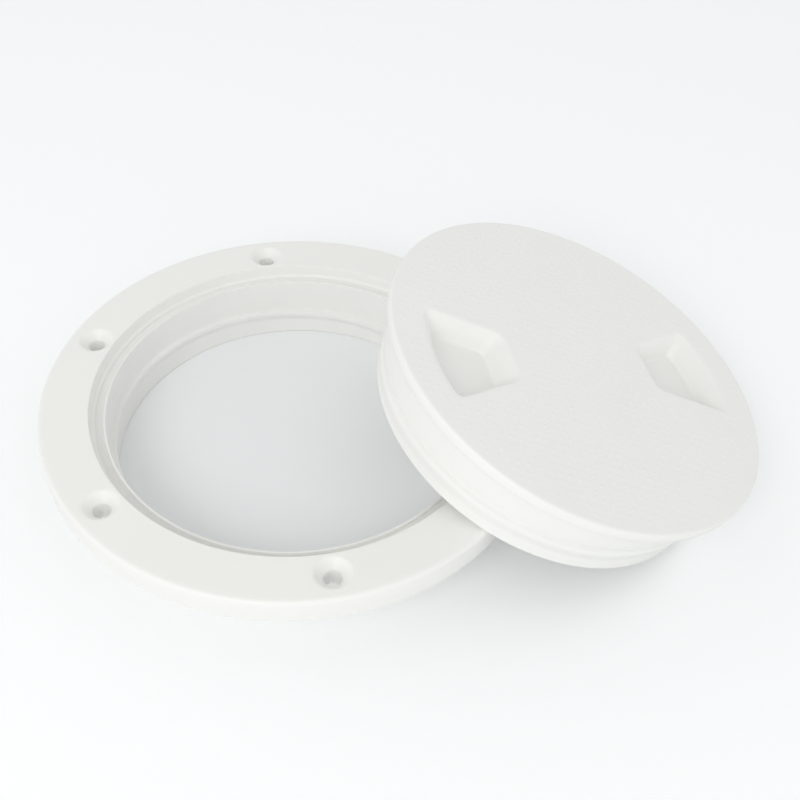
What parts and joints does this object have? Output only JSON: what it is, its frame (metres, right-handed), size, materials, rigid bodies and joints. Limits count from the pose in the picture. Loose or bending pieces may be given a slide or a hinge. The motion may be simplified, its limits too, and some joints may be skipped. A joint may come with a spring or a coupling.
{
  "type": "deck inspection plate",
  "caption": "Round deck inspection plate: a flanged ring with a recessed, threaded opening and countersunk screw holes, and its screw-in lid with two finger recesses leaning on it.",
  "frame": {"origin": "on the ring's axis, in the plane of the flange's underside, which is the deck", "axes": "+Z along the ring's axis, up out of the deck; +X towards the side that the loose lid leans on; the viewer of the picture is at -Y"},
  "size_m": [0.2018, 0.1406, 0.0592],
  "materials": {
    "ring_plastic": "moulded, satin",
    "lid_plastic": "moulded, satin, with a fine non-slip top",
    "seal_rubber": "matte"
  },
  "bodies": {
    "root": {"ring": "ring_plastic", "lid": "lid_plastic", "seal": "seal_rubber"}
  },
  "joints": []
}
